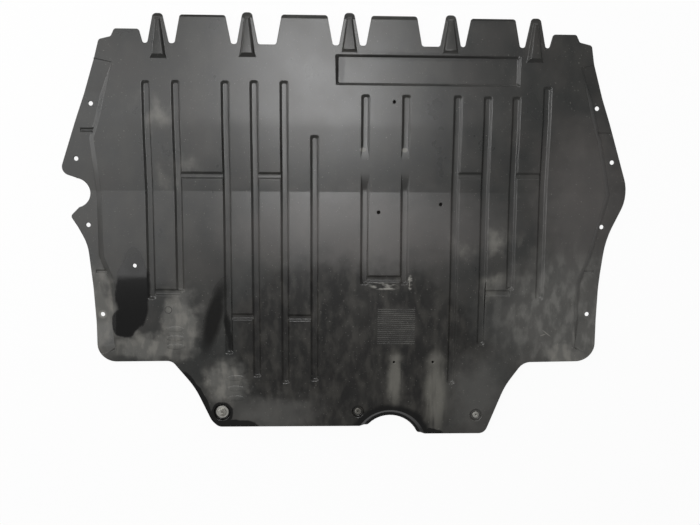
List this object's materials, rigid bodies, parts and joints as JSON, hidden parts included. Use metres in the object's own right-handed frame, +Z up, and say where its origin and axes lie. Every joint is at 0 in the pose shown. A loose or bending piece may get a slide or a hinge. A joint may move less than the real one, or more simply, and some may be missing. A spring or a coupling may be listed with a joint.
{
  "type": "engine splash shield",
  "caption": "Flat moulded plastic undertray for an engine bay, with stiffening ribs, tongues along the front edge, pierced side rims and captive rear screws",
  "frame": {"origin": "centre of the plan, at floor level under the rims", "axes": "+X to the car's side, +Y to the front edge with its tongues, +Z up through the road-side face"},
  "size_m": [0.9702, 0.727, 0.0171],
  "materials": {
    "shield_plastic": "moulded black polypropylene, worn and dusty",
    "screw_steel": "zinc plated, dull",
    "retainer_steel": "dark spring steel"
  },
  "bodies": {
    "root": {"splash_shield": "shield_plastic", "rear_screw_left": "screw_steel", "rear_screw_middle": "screw_steel", "rear_screw_right": "screw_steel", "rear_retainer_left": "retainer_steel", "rear_retainer_middle": "retainer_steel", "rear_retainer_right": "retainer_steel", "rear_washer_left": "screw_steel"}
  },
  "joints": []
}
